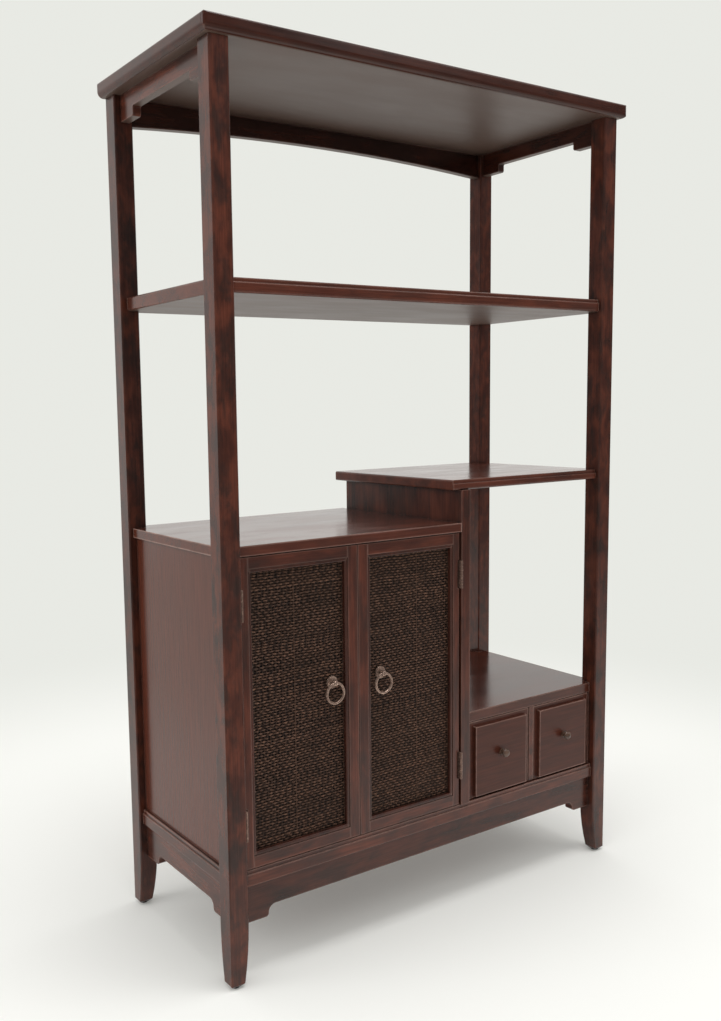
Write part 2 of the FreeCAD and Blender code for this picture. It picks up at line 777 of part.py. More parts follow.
def make_catches(near_points):
    catches = []
    for near, way in zip(near_points, (-1, 1)):
        far = near + way * catch_length
        y0 = door_back + strike_thickness + catch_gap
        catches.append(box(min(near, far), max(near, far), y0, y0 + catch_depth,
                           cabinet_underside - catch_height - door_end_gap, cabinet_underside))
    keep("door_catches", *catches)


def make_knob(x, z, face):
    """A turned knob on a flange, with its screw from inside the drawer front."""
    neck_end = face - knob_flange_thickness - knob_neck_length
    shoulder = neck_end - knob_cup_length
    tip = shoulder - knob_crown_height
    cup_middle = arc_middle((knob_neck_radius, shoulder), 1, 45)
    cup = (knob_neck_radius + (knob_head_radius - knob_neck_radius) * (cup_middle[0] - knob_neck_radius),
           shoulder + knob_cup_length * (cup_middle[1] - shoulder))
    crown_radius = (knob_head_radius ** 2 + knob_crown_height ** 2) / (2 * knob_crown_height)
    half_angle = math.degrees(math.asin(knob_head_radius / crown_radius)) / 2
    crown = arc_middle((0, tip + crown_radius), crown_radius, half_angle - 90)
    profile = face_of([
        V(x, face, z), V(x + knob_flange_radius, face, z),
        V(x + knob_flange_radius, face - knob_flange_thickness, z),
        V(x + knob_neck_radius, face - knob_flange_thickness, z), V(x + knob_neck_radius, neck_end, z),
        (V(x + cup[0], cup[1], z), V(x + knob_head_radius, shoulder, z)),
        (V(x + crown[0], crown[1], z), V(x, tip, z)),
    ])
    knob = profile.revolve(V(x, face, z), V(0, 1, 0), 360)
    inside = front + drawer_border_inset + drawer_front_thickness
    shank = cylinder(knob_screw_radius, V(x, face - knob_screw_reach, z), V(x, inside, z))
    head = cylinder(knob_screw_head_radius, V(x, inside, z), V(x, inside + knob_screw_head_thickness, z))
    return knob.cut(shank), shank.fuse(head).removeSplitter()


def make_drawer(side, x0, x1):
    """One drawer between the walls x0 and x1: front with a raised field, box, bottom and knob."""
    x0, x1 = x0 + drawer_gap, x1 - drawer_gap
    border = front + drawer_border_inset
    back_of_front = border + drawer_front_thickness
    z0, z1 = rail_top_height + drawer_gap, lower_shelf_underside - drawer_gap
    field = border - drawer_field_rise

    def rectangle(y, bevel):
        near_x, far_x = x0 + drawer_side_border + bevel, x1 - drawer_side_border - bevel
        low, high = z0 + drawer_lower_border + bevel, z1 - drawer_top_border - bevel
        points = [V(near_x, y, low), V(far_x, y, low), V(far_x, y, high), V(near_x, y, high)]
        return Part.makePolygon(points + points[:1])

    sections = [rectangle(border, 0), rectangle(field, drawer_field_bevel)]
    raised = Part.makeLoft(sections, True, True)
    board = box(x0, x1, border, back_of_front, z0, z1).fuse(raised).removeSplitter()
    side_z0 = rail_top_height + drawer_running_gap
    side_z1 = lower_shelf_underside - drawer_headroom
    box_rear = back_panel_front - drawer_rear_gap
    thick = drawer_board_thickness
    bottom_z = side_z0 + drawer_bottom_height
    groove = drawer_groove_depth
    bottom = box(x0 + thick - groove, x1 - thick + groove, back_of_front - groove, box_rear - thick + groove,
                 bottom_z, bottom_z + drawer_bottom_thickness)
    walls = [
        box(x0, x0 + thick, back_of_front, box_rear, side_z0, side_z1),
        box(x1 - thick, x1, back_of_front, box_rear, side_z0, side_z1),
        box(x0 + thick, x1 - thick, box_rear - thick, box_rear, side_z0, side_z1),
    ]
    middle = (x0 + x1) / 2
    height = (z0 + z1) / 2 + knob_rise
    knob, screw = make_knob(middle, height, field)
    keep("drawer_" + side + "_front", board.cut(bottom).cut(screw))
    keep("drawer_" + side + "_box", *[wall.cut(bottom) for wall in walls])
    keep("drawer_" + side + "_bottom", bottom)
    keep("drawer_" + side + "_knob", knob, screw)


def make_posts():
    for name, (x, y) in corners.items():
        post = make_post(x, y)
        if name == "front_left":
            post = cut_all(post, hinge_cuts("left"))
        keep("post_" + name, post)
    glides = []
    for x, y in corners.values():
        centre = foot_centre(x, y)
        disc = cylinder(glide_radius, V(*centre, 0), V(*centre, glide_thickness))
        pin = cylinder(glide_pin_radius, V(*centre, 0), V(*centre, glide_thickness + glide_pin_length))
        glides.append(disc.fuse(pin).removeSplitter())
    keep("foot_glides", *glides)


make_top()
make_shelves()
make_base()
make_posts()
make_case()
make_hinges()
make_catches([make_door("left"), make_door("right")])
drawer_middle = (drawers_left + drawers_right) / 2
make_drawer("left", drawers_left, drawer_middle - divider_thickness / 2)
make_drawer("right", drawer_middle + divider_thickness / 2, drawers_right)

os.makedirs("parts", exist_ok=True)
for name, shape in nodes.items():
    shape.exportStep("parts/" + name + ".step")

for side in ("left", "right"):
    print("hinge axis", side, hinge_line(side))
print("nodes", len(nodes))
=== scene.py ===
import math

import bpy
import numpy as np
from mathutils import Matrix, Vector


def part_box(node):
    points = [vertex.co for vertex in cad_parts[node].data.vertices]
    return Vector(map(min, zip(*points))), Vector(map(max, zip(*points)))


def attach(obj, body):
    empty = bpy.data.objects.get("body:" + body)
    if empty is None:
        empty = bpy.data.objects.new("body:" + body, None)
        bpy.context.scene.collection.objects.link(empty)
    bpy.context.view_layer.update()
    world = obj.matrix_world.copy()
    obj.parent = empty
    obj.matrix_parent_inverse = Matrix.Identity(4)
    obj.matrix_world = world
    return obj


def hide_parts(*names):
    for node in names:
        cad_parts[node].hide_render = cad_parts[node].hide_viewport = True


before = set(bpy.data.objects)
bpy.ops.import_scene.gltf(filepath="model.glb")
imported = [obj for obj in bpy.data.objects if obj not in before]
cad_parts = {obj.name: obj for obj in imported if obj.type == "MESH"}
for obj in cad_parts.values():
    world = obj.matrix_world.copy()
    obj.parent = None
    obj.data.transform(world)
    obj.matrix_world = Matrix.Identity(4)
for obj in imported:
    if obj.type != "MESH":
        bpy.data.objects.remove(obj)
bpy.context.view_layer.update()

# Units are metres. The part's front faces -Y, and it stands on the plane z = 0.
MM = 0.001

# The camera, solved from the photograph's frame of 721 x 1021 pixels
FRAME_WIDTH, FRAME_HEIGHT = 721, 1021
CAMERA_PLACE = Vector((-1.0004, -1.2481, 0.7839))
CAMERA_YAW, CAMERA_PITCH, CAMERA_ROLL = 33.089, 6.605, -1.058
CAMERA_FOCUS = 999.08
CENTRE_X, CENTRE_Y = 281.30, 520.31
SENSOR = 36.0
NEAR_CLIP, FAR_CLIP = 0.05, 100.0

# The room: even light, and in the gloss a pale paper wall from the left of the back round to the right
BACKGROUND = (0.81, 0.82, 0.775, 1)
ROOM_LIGHT = (0.76, 0.76, 0.755, 1)
WALL_SHEEN = (1.05, 1.03, 0.99, 1)
DIM_SHEEN = (0.11, 0.11, 0.112, 1)
BRIGHT_SIDE = (0.52, 0.82, 0.22)
TURN_FROM, TURN_TO = 0.26, 0.46
FLOOR_COLOUR = (0.93, 0.93, 0.895, 1)
FLOOR_GLOW = 0.12
FLOOR_DIM = (0.28, 0.27, 0.26, 1)
FLOOR_RADIUS = 4.2
FLOOR_FADE_FROM, FLOOR_FADE_TO = 0.5, 1.8
FLOOR_SEGMENTS = 96
FLOOR_ROUGHNESS = 0.9
FLOOR_SHEEN = 0.1

# The dimmer front of the room in the gloss: directions on the floor, and distances along them
FRONT_LEFT_SIDE = (-0.6, -1.0, 0)
FRONT_LEFT_FROM, FRONT_LEFT_TO = 0.15, 0.90
FRONT_SIDE = (0, -1.0, 0)
FRONT_FROM, FRONT_TO = 0.2, 1.0
FRONT_FAR_FROM, FRONT_FAR_TO = 1.6, 3.6

# Lamps: name, place, the point that it faces, size and watts
LAMPS = (
    ("overhead", (0.1, -0.4, 3.4), (0, 0, 0), 1.4, 45),
    ("right", (1.9, -2.0, 2.9), (0, 0, 0.5), 1.4, 9),
    ("left", (-2.9, 0.5, 1.8), (0, 0, 0.6), 1.6, 23),
)

# Lacquer colours, as linear values
LACQUER_DARK = (0.024, 0.0150, 0.0125)
LACQUER_MID = (0.054, 0.0165, 0.0108)
LACQUER_WARM = (0.116, 0.0300, 0.0160)
# The pale arris colour: rubbed wear, and a painted highlight along the arrises
LACQUER_WEAR_AND_HIGHLIGHT = (0.30, 0.18, 0.145)
# The underside colour: a painted reflection of the pale floor
LACQUER_UNDER_PAINTED_LIGHT = (0.110, 0.070, 0.053)
EDGE_WEAR_AND_HIGHLIGHT_REACH = 1.2 * MM
# How far the painted shade in recesses reaches
PAINTED_SHADE_REACH = 9 * MM

# Brass as patina, rubbed metal and metallic share: the handled rings, their rosettes, the hinges
PULL_BRASS = ((0.23, 0.145, 0.115), (0.70, 0.50, 0.39), 0.6)
ROSETTE_BRASS = ((0.030, 0.019, 0.014), (0.66, 0.45, 0.34), 0.7)
HINGE_BRASS = ((0.15, 0.088, 0.068), (0.42, 0.27, 0.21), 0.6)
BRASS_WEAR_REACH = 0.5 * MM
BRASS_RECESS_REACH, BRASS_RECESS_TONE = 1.6 * MM, 0.25

# Other finishes, each from its darker to its paler tone
STAINED_WOOD = ((0.085, 0.034, 0.021), (0.17, 0.076, 0.047))
KNOB_WOOD = ((0.048, 0.026, 0.017), (0.135, 0.074, 0.050))
ZINC = ((0.38, 0.38, 0.37), (0.60, 0.60, 0.58))
FIBRE_TONES = ((0.018, 0.0094, 0.0064), (0.208, 0.104, 0.064))
FIBRE_STAIN = (0.022, 0.011, 0.007)
PLASTICS = {"catch_plastic": (0.05, 0.035, 0.03), "glide_plastic": (0.03, 0.03, 0.03)}
# The backing behind the weave, darkened: painted shade in the gaps between the fibres
BACKING_PAINTED_SHADE = 0.14

# The basket weave: wefts of two twisted fibres over and under upright warps
WARP_PITCH = 5.2 * MM
WEFT_PITCH = 3.95 * MM
WEFT_SWING = 0.80 * MM
FIBRES = 2
FIBRE_HEIGHT = 0.80 * MM
FIBRE_DEPTH = 0.42 * MM
TWIST_HEIGHT = 0.62 * MM
TWIST_DEPTH = 0.38 * MM
TWIST_LENGTH = 11.0 * MM
WARP_RADIUS = 0.60 * MM
POINTS_PER_WARP = 3
WARP_POINTS = 40
WEAVE_EDGE = 1.0 * MM
WEAVE_DEPTH = 2 * (WEFT_SWING + FIBRE_DEPTH + TWIST_DEPTH)
BACKING_EASE = 0.3 * MM

# How uneven the hand-made weave is
ROW_SPREAD = 0.05 * WEFT_PITCH
ROW_SWAY = 1.2 * MM
PHASE_SPREAD = 0.25
PHASE_SWAY = 1.3
SWING_SHARE = (0.7, 1.0)
TWIST_SHARE = (0.8, 1.25)
GIRTH_SHARE = (0.80, 1.12)
GIRTH_SWAY = 0.15
WARP_SPREAD = 0.25 * MM
WARP_SWAY = 0.35 * MM
PALE_WARPS = 0.08
PALE_GIRTH = 1.35

# Tones of the fibres, with painted light on the crests and painted shade in the troughs, and the painted
# shade in the margins beside the door frame with its width and darkest share
WEFT_TONE, WEFT_TONE_SPREAD, WEFT_TONE_SWAY_AND_CREST_LIGHT = 0.40, 0.10, 0.22
WARP_TONE, PALE_WARP_TONE = 0.22, 0.42
LEFT_MARGIN, LEFT_DARKEST = 3 * MM, 0.2
RIGHT_MARGIN, RIGHT_DARKEST = 8 * MM, 0.15
TOP_MARGIN, TOP_DARKEST = 4 * MM, 0.2

# The rosette of a ring pull
ROSETTE_RADIUS = 9.4 * MM
ROSETTE_HEIGHT = 3.3 * MM
ROSETTE_PETALS = 12
PETAL_SEGMENTS = 10
FLUTE_REACH, FLUTE_DROP = 1.5, 10
# Its profile from the wall to the middle: share of the radius, share of the height, flute
ROSETTE_PROFILE = (
    (0.96, 0.0, 0.05), (1.0, 0.22, 0.07), (0.97, 0.45, 0.08),
    (0.86, 0.62, 0.06), (0.66, 0.72, 0.045), (0.50, 0.80, 0.02),
    (0.46, 0.98, 0.0), (0.36, 1.06, 0.0), (0.20, 1.08, 0.0),
)

# Seeds of the pieces that are made here
PANEL_SEED = 40
PETAL_SEED = 71

# The grain runs along each piece's longest side, except where it is given here
GRAIN = {"cabinet_side_panel": "z", "drawer_case_side_panel": "z", "partition": "z",
         "drawer_left_front": "x", "drawer_right_front": "x"}

# Pieces made darker than the rest: partly a darker tone, and partly painted shade where the piece sits in
# shadow (the aprons under the top, the rear left post, the partition's niche side)
DARKER_TONE_AND_SHADE = {"top_apron_rear": 0.30, "top_apron_right": 0.50, "base_apron_front": 0.70, "lower_shelf": 0.70,
          "post_rear_left": 0.70, "post_front_left": 0.92, "post_front_right": 0.85, "top_board": 0.50,
          "partition": 0.85}

# Pieces whose arrises are the palest: rubbed wear, and a painted highlight along the arris
RUBBED_AND_GLINTING = ("lower_shelf", "upper_shelf", "cabinet_top", "base_rail_front", "base_rail_left")


class Finish:
    """One procedural material: its nodes, its links and its Principled shader."""

    def __init__(self, name):
        self.material = bpy.data.materials.new(name)
        self.material.use_nodes = True
        self.tree = self.material.node_tree
        self.shader = self.tree.nodes["Principled BSDF"]

    def node(self, kind, **settings):
        """A new node with its settings."""
        made = self.tree.nodes.new(kind)
        for key, value in settings.items():
            setattr(made, key, value)
        return made

    def feed(self, socket, value):
        """Links a socket, or sets a plain value on it."""
        if isinstance(value, bpy.types.NodeSocket):
            self.tree.links.new(value, socket)
        else:
            socket.default_value = value

    def place(self, scale, shift=(0, 0, 0)):
        """The piece's own coordinates in metres, scaled and shifted."""
        here = self.node("ShaderNodeTexCoord")
        mapping = self.node("ShaderNodeMapping")
        mapping.inputs["Location"].default_value = shift
        mapping.inputs["Scale"].default_value = scale
        self.tree.links.new(here.outputs["Object"], mapping.inputs["Vector"])
        return mapping.outputs["Vector"]

    def noise(self, vector, detail=3.0, rough=0.5, warp=0.0):
        """Noise from 0 to 1."""
        made = self.node("ShaderNodeTexNoise")
        self.tree.links.new(vector, made.inputs["Vector"])
        made.inputs["Scale"].default_value = 1.0
        made.inputs["Detail"].default_value = detail
        made.inputs["Roughness"].default_value = rough
        made.inputs["Distortion"].default_value = warp
        return made.outputs["Fac"]

    def levels(self, value, low, high, to_low=0.0, to_high=1.0):
        """A smooth ramp from one range to another, held at its ends."""
        made = self.node("ShaderNodeMapRange", interpolation_type="SMOOTHSTEP")
        self.feed(made.inputs["Value"], value)
        made.inputs["From Min"].default_value = low
        made.inputs["From Max"].default_value = high
        made.inputs["To Min"].default_value = to_low
        made.inputs["To Max"].default_value = to_high
        return made.outputs["Result"]

    def mix(self, factor, a, b, kind="MIX"):
        """Two colours, mixed."""
        made = self.node("ShaderNodeMix", data_type="RGBA", blend_type=kind)
        self.feed(made.inputs[0], factor)
        self.feed(made.inputs[6], a if isinstance(a, bpy.types.NodeSocket) else (*a[:3], 1))
        self.feed(made.inputs[7], b if isinstance(b, bpy.types.NodeSocket) else (*b[:3], 1))
        return made.outputs[2]

    def sum(self, a, b, operation="ADD"):
        """Two numbers, added or joined by another operation."""
        made = self.node("ShaderNodeMath", operation=operation)
        self.feed(made.inputs[0], a)
        self.feed(made.inputs[1], b)
        return made.outputs[0]

    def bump(self, height, distance, strength=1.0, normal=None):
        """A normal with fine relief, on top of another one if that is given."""
        made = self.node("ShaderNodeBump")
        self.feed(made.inputs["Height"], height)
        made.inputs["Distance"].default_value = distance
        made.inputs["Strength"].default_value = strength
        if normal is not None:
            self.tree.links.new(normal, made.inputs["Normal"])
        return made.outputs["Normal"]

    def worn_edges(self, radius):
        """How close a point is to an outer edge, from 0 to 1, and the edge-rounded normal."""
        bevel = self.node("ShaderNodeBevel", samples=4)
        bevel.inputs["Radius"].default_value = radius
        thin = self.node("ShaderNodeAmbientOcclusion", samples=6, inside=True, only_local=True)
        thin.inputs["Distance"].default_value = 2.0 * radius
        return self.levels(thin.outputs["AO"], 0.94, 0.58), bevel.outputs["Normal"]

    def recesses(self, reach, darkest):
        """1 on open faces, down to darkest where other faces stand within reach: painted shade on the
        lacquer, patina in the hollows of the brass.
        """
        near = self.node("ShaderNodeAmbientOcclusion", samples=6)
        near.inputs["Distance"].default_value = reach
        return self.levels(near.outputs["AO"], 0.35, 0.95, darkest, 1.0)

    def facing_down(self):
        """1 on undersides, which are left less polished and take a painted reflection of the pale floor."""
        plain = self.node("ShaderNodeNewGeometry")
        apart = self.node("ShaderNodeSeparateXYZ")
        self.tree.links.new(plain.outputs["Normal"], apart.inputs[0])
        return self.levels(apart.outputs["Z"], -0.90, -0.98)

    def grey(self, value):
        """A number as a grey colour."""
        made = self.node("ShaderNodeCombineColor")
        for channel in ("Red", "Green", "Blue"):
            self.feed(made.inputs[channel], value)
        return made.outputs["Color"]

    def done(self, colour, roughness, normal=None, **plain):
        """Feeds the shader, and gives the material."""
        self.feed(self.shader.inputs["Base Color"], colour)
        self.feed(self.shader.inputs["Roughness"], roughness)
        if normal is not None:
            self.feed(self.shader.inputs["Normal"], normal)
        for key, value in plain.items():
            self.shader.inputs[key.replace("_", " ")].default_value = value
        return self.material


def along_axis(axis, along, across):
    """A scale for each axis: one value along the grain, another across it."""
    return tuple(along if axis == a else across for a in "xyz")


def seed_shift(seed):
    """A shift that gives each piece its own stretch of the pattern."""
    return (3.7 * seed % 11, 5.3 * seed % 13, 7.9 * seed % 17)


def lacquer(name, axis, seed, tone=1.0, clouds=1.0, gloss=0.22, wear_and_highlight=0.5, level=0.42,
            spread=(9.0, 30.0), recess_shade=0.50):
    """Rubbed red-brown lacquer: dark clouds, warm patches, fine grain, worn edges with a painted highlight,
    painted shade in recesses and a painted floor reflection on undersides.
    """
    finish = Finish(name)
    shift = seed_shift(seed)
    cloud = finish.noise(finish.place(along_axis(axis, *spread), shift), 4.0, 0.6, 0.3)
    patch = finish.noise(finish.place(along_axis(axis, *spread), shift[::-1]), 3.0, 0.55, 0.2)
    streak = finish.noise(finish.place(along_axis(axis, 6.0, 150.0), shift), 3.0, 0.6, 0.2)
    grain = finish.noise(finish.place(along_axis(axis, 14.0, 520.0), shift), 3.0, 0.6)
    pores = finish.noise(finish.place(along_axis(axis, 60.0, 1500.0), shift), 2.0, 0.5)
    warmth = finish.levels(patch, 0.34, 0.64, 0.45 - 0.35 * clouds, 0.45 + 0.45 * clouds)
    body = finish.mix(warmth, LACQUER_MID, LACQUER_WARM)
    body = finish.mix(finish.levels(cloud, 0.44, 0.66, 0.0, 0.60 * clouds), body, LACQUER_DARK)
    body = finish.mix(finish.levels(streak, 0.48, 0.74, 0.0, 0.35 * clouds), body, LACQUER_DARK)
    lines = finish.levels(grain, 0.30, 0.72, 0.82 * tone, 1.16 * tone)
    body = finish.mix(1.0, body, finish.grey(lines), "MULTIPLY")
    # Painted shade where other faces stand near
    body = finish.mix(1.0, body, finish.grey(finish.recesses(PAINTED_SHADE_REACH, recess_shade)), "MULTIPLY")
    # Paler arrises: rubbed wear and a painted highlight
    edge, rounded = finish.worn_edges(EDGE_WEAR_AND_HIGHLIGHT_REACH)
    rubbed = finish.sum(edge, finish.levels(cloud, 0.35, 0.62, 0.80 * wear_and_highlight, 0.45 * wear_and_highlight), "MULTIPLY")
    body = finish.mix(rubbed, body, LACQUER_WEAR_AND_HIGHLIGHT)
    shine = finish.levels(patch, 0.3, 0.7, gloss - 0.02, gloss + 0.03)
    # Undersides: rougher, and paler as a painted reflection of the floor
    under = finish.facing_down()
    body = finish.mix(finish.sum(under, 0.8, "MULTIPLY"), body, LACQUER_UNDER_PAINTED_LIGHT)
    shine = finish.sum(shine, finish.sum(under, 0.22, "MULTIPLY"))
    relief = finish.bump(pores, 0.02 * MM, 0.35, rounded)
    relief = finish.bump(grain, 0.06 * MM, 0.35, relief)
    return finish.done(body, shine, relief, IOR=1.5, Specular_IOR_Level=level)


def sealed_wood(name, axis, seed, shade=1.0):
    """Plain stained wood inside the case: open grain, no gloss."""
    finish = Finish(name)
    shift = seed_shift(seed)
    figure = finish.noise(finish.place(along_axis(axis, 2.2, 26.0), shift), 4.0, 0.6, 1.2)
    grain = finish.noise(finish.place(along_axis(axis, 14.0, 600.0), shift), 3.0, 0.6)
    body = finish.mix(finish.levels(figure, 0.3, 0.7), *STAINED_WOOD)
    lines = finish.levels(grain, 0.25, 0.75, 0.7 * shade, 1.2 * shade)
    body = finish.mix(1.0, body, finish.grey(lines), "MULTIPLY")
    relief = finish.bump(grain, 0.08 * MM, 0.5)
    return finish.done(body, finish.levels(grain, 0.3, 0.7, 0.5, 0.66), relief)


def turned_wood(name, seed):
    """The drawer knobs: mottled brown lacquer with fine rings."""
    finish = Finish(name)
    mottle = finish.noise(finish.place((90, 90, 90), seed_shift(seed)), 3.0, 0.55, 0.5)
    rings = finish.noise(finish.place((60, 700, 60), seed_shift(seed)), 2.0, 0.5)
    body = finish.mix(finish.levels(mottle, 0.3, 0.7), *KNOB_WOOD)
    body = finish.mix(1.0, body, finish.grey(finish.levels(rings, 0.3, 0.7, 0.8, 1.15)), "MULTIPLY")
    return finish.done(body, finish.levels(mottle, 0.3, 0.7, 0.22, 0.34),
                       finish.bump(rings, 0.03 * MM, 0.5), IOR=1.5, Coat_Weight=0.15, Coat_Roughness=0.15)


def aged_brass(name, seed, dull, bright, metal):
    """Brass with a brown patina that is rubbed off on the edges."""
    finish = Finish(name)
    shift = seed_shift(seed)
    stain = finish.noise(finish.place((240, 240, 240), shift), 4.0, 0.6, 0.6)
    speck = finish.noise(finish.place((1500, 1500, 1500), shift), 2.0, 0.6)
    edge, rounded = finish.worn_edges(BRASS_WEAR_REACH)
    clean = finish.sum(finish.levels(stain, 0.44, 0.66, 0.12, 0.75), edge, "MAXIMUM")
    body = finish.mix(clean, dull, bright)
    body = finish.mix(1.0, body, finish.grey(finish.levels(speck, 0.3, 0.7, 0.8, 1.1)), "MULTIPLY")
    hollows = finish.recesses(BRASS_RECESS_REACH, BRASS_RECESS_TONE)
    body = finish.mix(1.0, body, finish.grey(hollows), "MULTIPLY")
    return finish.done(body, finish.levels(stain, 0.35, 0.65, 0.30, 0.16),
                       finish.bump(speck, 0.02 * MM, 0.5, rounded), Metallic=metal)


def plain_metal(name, seed):
    """Zinc-plated steel, brushed."""
    finish = Finish(name)
    brush = finish.noise(finish.place((40, 40, 1800), seed_shift(seed)), 3.0, 0.6)
    body = finish.mix(finish.levels(brush, 0.3, 0.7), *ZINC)
    return finish.done(body, finish.levels(brush, 0.3, 0.7, 0.3, 0.44),
                       finish.bump(brush, 0.01 * MM, 0.5), Metallic=1.0)


def moulded(name, seed, colour):
    """Matt moulded plastic with a fine spark texture."""
    finish = Finish(name)
    texture = finish.noise(finish.place((2200, 2200, 2200), seed_shift(seed)), 2.0, 0.5)
    darker, paler = [0.8 * c for c in colour], [1.25 * c for c in colour]
    body = finish.mix(finish.levels(texture, 0.3, 0.7), darker, paler)
    return finish.done(body, finish.levels(texture, 0.3, 0.7, 0.45, 0.6),
                       finish.bump(texture, 0.02 * MM, 0.6))


def woven_fibre(name):
    """Dark brown twisted fibre with paler hairs: each strand has its own tone, which holds painted light on
    the crests and painted shade in the troughs and beside the door frame.
    """
    finish = Finish(name)
    tone = finish.node("ShaderNodeAttribute", attribute_name="tone").outputs["Fac"]
    hairs = finish.noise(finish.place((700, 700, 2600)), 3.0, 0.6)
    stain = finish.noise(finish.place((24, 24, 38)), 3.0, 0.55, 0.5)
    body = finish.mix(tone, *FIBRE_TONES)
    body = finish.mix(finish.levels(stain, 0.45, 0.7, 0.0, 0.35), body, FIBRE_STAIN)
    body = finish.mix(1.0, body, finish.grey(finish.levels(hairs, 0.3, 0.72, 0.6, 1.4)), "MULTIPLY")
    return finish.done(body, finish.levels(hairs, 0.3, 0.7, 0.42, 0.62),
                       finish.bump(hairs, 0.06 * MM, 0.6), Specular_IOR_Level=0.3)


def mesh_object(name, vertices, faces, smooth=True):
    """A mesh object from arrays of points and of faces with alike counts of corners."""
    mesh = bpy.data.meshes.new(name)
    mesh.from_pydata(np.asarray(vertices).tolist(), [], np.asarray(faces).tolist())
    if smooth:
        mesh.shade_smooth()
    else:
        mesh.shade_flat()
    made = bpy.data.objects.new(name, mesh)
    bpy.context.scene.collection.objects.link(made)
    return made


def tube_faces(count, points, sides, first=0):
    """The quads of count open tubes, each with so many points and sides."""
    tube = np.arange(count)[:, None, None] * points * sides
    ring = np.arange(points - 1)[None, :, None] * sides
    side = np.arange(sides)[None, None, :]
    turn = (side + 1) % sides
    here, above = tube + ring, tube + ring + sides
    corners = [here + side, here + turn, above + turn, above + side]
    return first + np.stack(corners, axis=-1).reshape(-1, 4)


def ripple(rng, x, z, waves, longest):
    """A smooth uneven field, from -1 to 1, over places x and z."""
    total = np.zeros(np.broadcast(x, z).shape)
    for _ in range(waves):
        turn, phase = rng.uniform(0, 2 * math.pi, 2)
        reach = 2 * math.pi / (longest * rng.uniform(0.35, 1.0))
        total += np.sin(reach * (x * math.cos(turn) + z * math.sin(turn)) + phase)
    return total / waves


def weft_fibres(rng, low, width, height, middle):
    """The vertices of all weft fibres and a tone for each, with painted light and shade in it: arrays of
    fibre, point, side.
    """
    warps, rows = round(width / WARP_PITCH), round(height / WEFT_PITCH)
    points = warps * POINTS_PER_WARP + 1
    across = np.linspace(0, width, points)[None, None, :]
    row = np.arange(rows)[:, None, None]
    ply = np.arange(FIBRES)[None, :, None]
    level = (row + 0.5) * height / rows + rng.normal(0, ROW_SPREAD, (rows, 1, 1))
    sway = ROW_SWAY * ripple(rng, across, level, waves=7, longest=0.09)
    phase = math.pi * (across / width * warps + row + rng.normal(0, PHASE_SPREAD, (rows, 1, 1)))
    phase = phase + PHASE_SWAY * ripple(rng, across, level, waves=6, longest=0.05)
    swing = WEFT_SWING * np.sin(phase) * rng.uniform(*SWING_SHARE, (rows, 1, 1))
    pace = TWIST_LENGTH * rng.uniform(*TWIST_SHARE, (rows, 1, 1))
    turn = 2 * math.pi * (across / pace + ply / FIBRES + rng.random((rows, 1, 1)))
    fat = rng.uniform(*GIRTH_SHARE, (rows, FIBRES, 1))
    fat = fat * (1 + GIRTH_SWAY * ripple(rng, across, level, waves=5, longest=0.02))
    x = low.x + WEAVE_EDGE + across + np.zeros_like(turn)
    y = middle - swing - TWIST_DEPTH * np.sin(turn)
    z = low.z + WEAVE_EDGE + level + sway + TWIST_HEIGHT * np.cos(turn)
    z = np.clip(z, low.z + WEAVE_EDGE, low.z + WEAVE_EDGE + height)
    section = ((0, -1), (1, 0), (0, 1), (-1, 0))
    sides = [np.stack((x, y + b * FIBRE_DEPTH * np.minimum(fat, 1), z + a * FIBRE_HEIGHT * fat), axis=-1)
             for a, b in section]
    tones = rng.normal(WEFT_TONE, WEFT_TONE_SPREAD, (rows, FIBRES, 1))
    tones = tones + WEFT_TONE_SWAY_AND_CREST_LIGHT * ripple(rng, across, level, waves=6, longest=0.03)
    # Painted light on the crests that come forward, painted shade in the troughs
    tones = tones + WEFT_TONE_SWAY_AND_CREST_LIGHT * np.sin(phase)
    # Painted shade along the door frame: left, right and top margins
    frame_shade = np.clip(across / LEFT_MARGIN, LEFT_DARKEST, 1)
    frame_shade = frame_shade * np.clip((width - across) / RIGHT_MARGIN, RIGHT_DARKEST, 1)
    tones = tones * frame_shade * np.clip((height - level) / TOP_MARGIN, TOP_DARKEST, 1)
    tubes = np.stack(sides, axis=3).reshape(rows * FIBRES, points, len(section), 3)
    return tubes, tones.reshape(-1, points)


def warp_cords(rng, low, width, height, middle):
    """The vertices of the upright warps and a tone for each: arrays of warp, point, side."""
    warps = round(width / WARP_PITCH)
    places = (np.arange(warps)[:, None] + 0.5) * width / warps
    places = places + rng.normal(0, WARP_SPREAD, (warps, 1))
    up = np.linspace(0, height, WARP_POINTS)[None, :]
    pale = rng.random((warps, 1)) < PALE_WARPS
    fat = WARP_RADIUS * np.where(pale, PALE_GIRTH, 1.0)
    x = low.x + WEAVE_EDGE + places + WARP_SWAY * ripple(rng, places, up, waves=4, longest=0.12)
    z = low.z + WEAVE_EDGE + up + np.zeros_like(x)
    ring = [(math.cos(t), math.sin(t)) for t in (0, math.pi / 2, math.pi, 1.5 * math.pi)]
    sides = [np.stack((x + c * fat, middle + s * fat + np.zeros_like(x), z), axis=-1) for c, s in ring]
    return np.stack(sides, axis=2), np.where(pale, PALE_WARP_TONE, WARP_TONE) + np.zeros_like(x)


